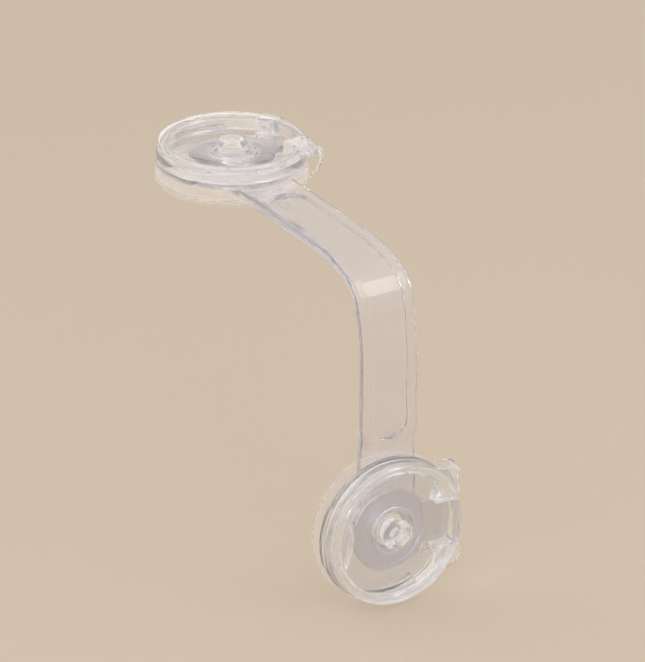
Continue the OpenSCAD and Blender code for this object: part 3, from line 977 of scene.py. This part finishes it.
class SpringOperator(bpy.types.Operator):
    """Model the leaf springs behind the latches"""

    bl_idname = "lock.latch_springs"
    bl_label = "Latch springs"

    def execute(self, context):
        case = context.scene.lock_case
        latch = context.scene.lock_latch
        crown = latch.plate_radius + latch.leaf_gap + latch.leaf
        end_radius = case.radius - case.rim_width - latch.leaf_gap
        end_x = end_radius * math.cos(latch.leaf_end)
        end_y = end_radius * math.sin(latch.leaf_end)
        bow = end_x - crown
        bow_radius = (end_y ** 2 + bow ** 2) / (2 * bow)
        half = math.asin(end_y / bow_radius)
        section = bar(bow_radius, bow_radius + latch.leaf, LATCH_LOW.z,
                      LATCH_LOW.z + latch.leaf_height, latch.leaf_round)
        leaf = shifted(turned_between(section, -half, half, edge=latch.leaf_tip),
                       -crown - bow_radius, 0, 0)
        crown_face = -latch.plate_radius - latch.leaf_gap
        made = placed_on_both(leaf, "latch_spring", "cup", "clear_case", rim_plastic())
        keep = (crown_face + end_x - latch.travel) / (crown_face + end_x)
        for side, obj in zip(SIDES, made):
            -end_x
            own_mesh(obj)
        return {"FINISHED"}


class StrapOperator(bpy.types.Operator):
    """Model the strap and let it bend at its hinges"""

    bl_idname = "lock.strap"
    bl_label = "Strap"

    def execute(self, context):
        strap = context.scene.lock_strap
        look = context.scene.lock_plastic
        route = StrapRoute(strap)
        blank = self.blank(strap, route.total)
        bores = [self.bore(strap, place) for place in (0, route.total)]
        blank = carved(blank, "UNION", *[self.eye(strap, place) for place in (0, route.total)])
        solid = carved(blank, "DIFFERENCE", *bores, self.recess(strap, route.total))
        for place in route.cuts:
            cut_across(solid, place)
        plastic = clear_plastic("strap_plastic", look.strap_tint, look.strap_ior, look.strap_clearness)
        seam = seam_face()
        bends = [f"strap_bend_{i}" for i in range(1, len(FLEX_JOINTS))]
        nodes = ["strap_upper_leg", *bends, "strap_lower_leg"]
        borders = [None, *route.borders, None]
        for i in range(len(FLEX_JOINTS)):
            stretch = self.stretch(solid, borders[i], borders[i + 1])
            for v in stretch.verts:
                v.co = route.place(v.co)
            obj = finished_piece(f"strap_stretch_{i + 1}", stretch, plastic, seam)
            start, end = route.flex_zone(i)
            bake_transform(obj)
            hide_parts(*([nodes[0], nodes[1]] if i == 0 else [nodes[i + 1]]))
        solid.free()
        return {"FINISHED"}

    def blank(self, strap, total):
        """The strap laid out flat along -Y, an eye at each end, before its holes are cut."""
        half = strap.width / 2
        meet = math.asin(half / strap.eye_radius)
        near = [around(strap.eye_radius, turn - math.pi / 2)
                for turn in evenly(meet, math.tau - meet, round_steps())]
        far = [(-x, -total - y) for x, y in near]
        return laid_flat(raised(outline(near + far), strap.thickness, strap.edge_round))

    def eye(self, strap, place):
        """The thicker underside of one eye."""
        low = LEG_LOW.z - (LEG_HIGH.z - strap.thickness)
        bm = turned(outline([(0, low), (strap.eye_radius, low), (strap.eye_radius, strap.edge_round),
                             (strap.eye_radius - strap.edge_round, strap.thickness / 2),
                             (0, strap.thickness / 2)], strap.eye_round, sharp=(0, 2, 3, 4)))
        return shifted(bm, 0, -place, 0)

    def bore(self, strap, place):
        """The cutter of one eye's bore."""
        return shifted(rod(strap.bore_radius, 4 * strap.thickness), 0, -place, 0)

    def recess(self, strap, total):
        """The cutter of the long recess, with round ends, a rounded floor and a flared mouth."""
        half = strap.recess_width / 2
        floor = strap.thickness - strap.recess_depth
        above = strap.thickness + strap.recess_depth
        flared = half + strap.recess_flare
        section = outline([(0, floor), (half, floor), (half, strap.thickness),
                           (flared, strap.thickness + strap.recess_flare), (flared, above),
                           (0, above)], strap.floor_round, sharp=(0, 3, 4, 5))
        near = -strap.recess_start - half
        far = strap.recess_start + half - total
        shifted(without_faces(section), 0, near, 0)
        swept = section.verts[:] + section.edges[:]
        for here, there in ((near, far), (far, near)):
            swept = bmesh.ops.spin(section, geom=swept, cent=(0, here, 0), axis=(0, 0, 1),
                                   dvec=(0, 0, 0), angle=math.pi, steps=round_steps() // 2,
                                   use_merge=False, use_duplicate=False)["geom_last"]
            swept = bmesh.ops.extrude_edge_only(section, edges=only(BMEdge, swept))["geom"]
            moved = only(BMVert, swept)
            bmesh.ops.translate(section, verts=moved, vec=(0, there - here, 0))
            swept = moved + [e for e in only(BMEdge, swept) if all(v in moved for v in e.verts)]
        return remade_outwards(section)

    def stretch(self, solid, start, end):
        """One stretch of the flat strap between two borders, closed with seam faces."""
        bm = solid.copy()
        for border in (start, end):
            if border is None:
                continue
            cut_across(bm, border, clear_before=border == start, clear_beyond=border == end)
            rim = [e for e in bm.edges if e.is_boundary]
            cap = bmesh.ops.contextual_create(bm, geom=rim)
            for face in cap["faces"]:
                face.material_index = 1
        bmesh.ops.recalc_face_normals(bm, faces=bm.faces)
        return bm


class Arc:
    """One arc of the bend between two turns over the corner, with the radius of its inner face."""

    def __init__(self, first, last, centre, radius, begun):
        self.first = first
        self.last = last
        self.centre = centre
        self.radius = radius
        self.begun = begun

    def distance_at(self, turn):
        """How far along the strap a turn is reached."""
        return self.begun + self.radius * (turn - self.first)

    def turn_at(self, distance):
        """The turn that is reached this far along the strap."""
        return self.first + (distance - self.begun) / self.radius

    def spot(self, turn, height):
        """The Y and Z of a point at a turn and a height over the inner face."""
        return self.centre + (self.radius + height) * outward(turn)


class StrapRoute:
    """The strap's way from eye to eye, as it lies bent over the corner.

    Distances run along its inner face. The hinges lie on the outer face, in the middles of even
    steps of the bend. The first and last steps are gentle arcs, and the circle of the tight arc
    between them goes through the other hinges.
    """

    def __init__(self, strap):
        self.low = LEG_HIGH.z - strap.thickness
        self.thickness = strap.thickness
        self.step_start = strap.step_start
        self.step_length = strap.step_length
        pivots = [Vector(joint["pos_m"]).yz for joint in FLEX_JOINTS]
        middle, outer_radius = circle_through(*pivots[1:-1])
        tight = outer_radius - strap.thickness
        turns = [math.atan2(-(pivot - middle).x, (pivot - middle).y) for pivot in pivots[1:-1]]
        self.step = turns[1] - turns[0]
        # The bend starts one and a half steps before its second hinge
        steps_before = 1.5
        edges = [turns[0] + self.step * (i - steps_before) for i in range(len(pivots) + 1)]
        self.edges = edges
        wider = strap.flank_radius - tight
        near = middle - wider * outward(edges[1])
        far = middle - wider * outward(edges[-2])
        self.upper_length = -near.x
        self.lower_length = LOWER_LEG + far.y
        self.rise = strap.flank_radius - far.x - UPPER_LEG - self.low
        self.arcs = []
        distance = self.upper_length
        for first, last, centre, radius in ((edges[0], edges[1], near, strap.flank_radius),
                                            (edges[1], edges[-2], middle, tight),
                                            (edges[-2], edges[-1], far, strap.flank_radius)):
            arc = Arc(first, last, centre, radius, distance)
            self.arcs.append(arc)
            distance = arc.distance_at(last)
        self.total = distance + self.lower_length
        self.borders = [self.distance_of(turn) for turn in edges[1:-1]]
        count = round((edges[-1] - edges[0]) / FINE_TURN)
        self.cuts = [self.distance_of(turn) for turn in evenly(edges[0], edges[-1], count)]
        step_end = strap.step_start + strap.step_length
        self.cuts += [self.total - place for place in evenly(strap.step_start, step_end, STEP_CUTS)]

    def arc_of(self, turn):
        """The arc that holds a turn over the corner."""
        return next((arc for arc in self.arcs if turn <= arc.last + ON_ARC), self.arcs[-1])

    def distance_of(self, turn):
        """How far along the inner face a turn over the corner is reached."""
        return self.arc_of(turn).distance_at(turn)

    def place(self, point):
        """Where a point of the flat strap goes: X stays, -Y runs along, Z is over the inner face."""
        distance, height = -point.y, point.z
        from_lower = self.total - distance
        if distance <= self.upper_length:
            return Vector((point.x, -distance, self.low + height))
        if from_lower < self.lower_length:
            share = min(1, max(0, (from_lower - self.step_start) / self.step_length))
            eased = share * share * (3 - 2 * share)
            height += self.low + self.rise * eased
            return Vector((point.x, -UPPER_LEG - height, from_lower - LOWER_LEG))
        for arc in self.arcs:
            turn = arc.turn_at(distance)
            if turn <= arc.last:
                break
        spot = arc.spot(turn, height)
        return Vector((point.x, spot.x, spot.y))

    def flex_zone(self, i):
        """Start and end of the stretch that bends about a hinge, inside both its seam faces."""
        middle = (self.edges[i] + self.edges[i + 1]) / 2
        arc = self.arc_of(middle)
        reach = arc.radius * math.sin(self.step / 2)
        along = Vector((0, -math.cos(middle), -math.sin(middle)))
        spot = Vector((0, *arc.spot(middle, self.thickness / 2)))
        return spot - reach * along, spot + reach * along


def outward(turn):
    """The direction away from the corner after a turn over it, along Y and Z."""
    return Vector((-math.sin(turn), math.cos(turn)))


def circle_through(a, b, c):
    """Centre and radius of the circle through three points of a plane."""
    ab, ac = b - a, c - a
    twice_area = 2 * ab.cross(ac)
    x = (ac.y * ab.length_squared - ab.y * ac.length_squared) / twice_area
    y = (ab.x * ac.length_squared - ac.x * ab.length_squared) / twice_area
    offset = Vector((x, y))
    return a + offset, offset.length


class StageOperator(bpy.types.Operator):
    """Lay the floor, hang the lamps and set up the camera"""

    bl_idname = "lock.stage"
    bl_label = "Stage"

    def execute(self, context):
        scene = context.scene
        look = scene.lock_stage
        scene.view_settings.view_transform = "Standard"
        for name, count in BOUNCES.items():
            setattr(scene.cycles, name, count)
        self.floor(look)
        self.world(scene, look)
        for settings in LAMPS:
            self.lamp(*settings)
        self.camera(scene, look)
        return {"FINISHED"}

    def floor(self, look):
        """A wide plain floor under the object."""
        bm = bmesh.new()
        bmesh.ops.create_grid(bm, x_segments=1, y_segments=1, size=look.floor_size / 2)
        shifted(bm, 0, 0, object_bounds()[0].z - look.floor_drop)
        material = bpy.data.materials.new("floor")
        shader = Shader(material)
        matt = shader.node("ShaderNodeBsdfPrincipled", None,
                           {"Base Color": rgba(look.floor_colour), "Roughness": 0.8,
                            "Specular IOR Level": 0.2})
        shader.node("ShaderNodeOutputMaterial", None, {"Surface": matt})
        finished_piece("floor", bm, material)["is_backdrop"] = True

    def world(self, scene, look):
        """A soft studio: bright overhead, darker walls, and the floor's tone below and behind."""
        world = bpy.data.worlds.new("studio")
        scene.world = world
        shader = Shader(world)
        direction = shader.node("ShaderNodeTexCoord", output="Generated")
        height = shader.node("ShaderNodeSeparateXYZ", None, {"Vector": direction}, output="Z")
        floor, wall, sky = (tuple(tone) for tone in (look.floor_colour, look.wall_colour,
                                                     look.sky_colour))
        stops = ((HORIZON, floor), (WALL_FOOT, wall), (WALL_HEAD, wall), (CEILING, sky), (1.0, sky))
        tones = shader.node("ShaderNodeValToRGB", {"stops": stops}, {"Fac": height * 0.5 + 0.5})
        towards_back = shader.node("ShaderNodeVectorMath", {"operation": "DOT_PRODUCT"},
                                   {0: direction, 1: BACK_DIRECTION}, output="Value")
        backness = shader.node("ShaderNodeValToRGB", {"stops": BACK_STOPS}, {"Fac": towards_back})
        walls = shader.node("ShaderNodeMix", {"data_type": "RGBA"},
                            {"Factor": backness, 6: tones, 7: rgba(look.back_colour)}, output=2)
        camera_ray = shader.node("ShaderNodeLightPath", output="Is Camera Ray")
        seen = shader.node("ShaderNodeMix", {"data_type": "RGBA"},
                           {"Factor": camera_ray, 6: walls, 7: rgba(look.floor_colour)}, output=2)
        glow = shader.node("ShaderNodeBackground", None, {"Color": seen, "Strength": 1.0})
        shader.node("ShaderNodeOutputWorld", None, {"Surface": glow})

    def lamp(self, name, place, width, height, watts):
        """An area lamp that faces the object, its width as near to the X axis as can be."""
        lamp = bpy.data.lights.new(name, "AREA")
        lamp.shape = "RECTANGLE"
        lamp.size = width
        lamp.size_y = height
        lamp.energy = watts
        obj = bpy.data.objects.new(name, lamp)
        back = (Vector(place) - LAMP_TARGET).normalized()
        across = Vector((1, 0, 0))
        across = (across - across.dot(back) * back).normalized()
        along = back.cross(across)
        turn = Matrix((across, along, back)).transposed().to_4x4()
        obj.matrix_world = Matrix.Translation(place) @ turn
        bpy.context.scene.collection.objects.link(obj)

    def camera(self, scene, look):
        """The camera at the photograph's angle."""
        camera = bpy.data.cameras.new("camera")
        camera.lens = look.camera_lens
        camera.sensor_width = 36
        camera.clip_start = 0.1
        camera.clip_end = 50
        obj = bpy.data.objects.new("camera", camera)
        turn = Matrix.Rotation(look.camera_turn, 4, "Z")
        tilt = Matrix.Rotation(math.pi / 2 - look.camera_rise, 4, "X")
        roll = Matrix.Rotation(look.camera_roll, 4, "Z")
        obj.matrix_world = Matrix.Translation(look.camera_place) @ turn @ tilt @ roll
        scene.collection.objects.link(obj)
        scene.camera = obj


class LockPanel(bpy.types.Panel):
    """The safety lock's operators and sizes"""

    bl_idname = "VIEW3D_PT_safety_lock"
    bl_label = "Safety Lock"
    bl_space_type = "VIEW_3D"
    bl_region_type = "UI"
    bl_category = "Safety Lock"

    def draw(self, context):
        for operator in OPERATORS:
            self.layout.operator(operator.bl_idname)
        for name, group in GROUPS.items():
            column = self.layout.column(heading=group.__doc__)
            sizes = getattr(context.scene, name)
            for key in group.__annotations__:
                column.prop(sizes, key)


GROUPS = {
    "lock_base": BaseSizes,
    "lock_case": CaseSizes,
    "lock_ears": EarSizes,
    "lock_latch": LatchSizes,
    "lock_strap": StrapSizes,
    "lock_plastic": PlasticLook,
    "lock_stage": StageLook,
}
OPERATORS = (PadOperator, PlateOperator, StudOperator, CupOperator, CoverRingOperator,
             LatchOperator, SpringOperator, StrapOperator, StageOperator)


def register():
    """Registers the classes and hangs the property groups on the scene."""
    for item in (*GROUPS.values(), *OPERATORS, LockPanel):
        bpy.utils.register_class(item)
    for name, group in GROUPS.items():
        setattr(bpy.types.Scene, name, PointerProperty(type=group))


def unregister():
    """Takes the property groups and classes away again."""
    for name in GROUPS:
        delattr(bpy.types.Scene, name)
    for item in reversed((*GROUPS.values(), *OPERATORS, LockPanel)):
        bpy.utils.unregister_class(item)


def main():
    """Builds the lock and its stage, and notes the sizes of both models."""
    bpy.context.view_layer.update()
    register()
    bpy.ops.lock.adhesive_pads()
    bpy.ops.lock.base_plates()
    bpy.ops.lock.hub_studs()
    bpy.ops.lock.cups()
    bpy.ops.lock.cover_rings()
    bpy.ops.lock.latches()
    bpy.ops.lock.latch_springs()
    bpy.ops.lock.strap()
    bpy.ops.lock.stage()


if __name__ == "__main__":
    main()
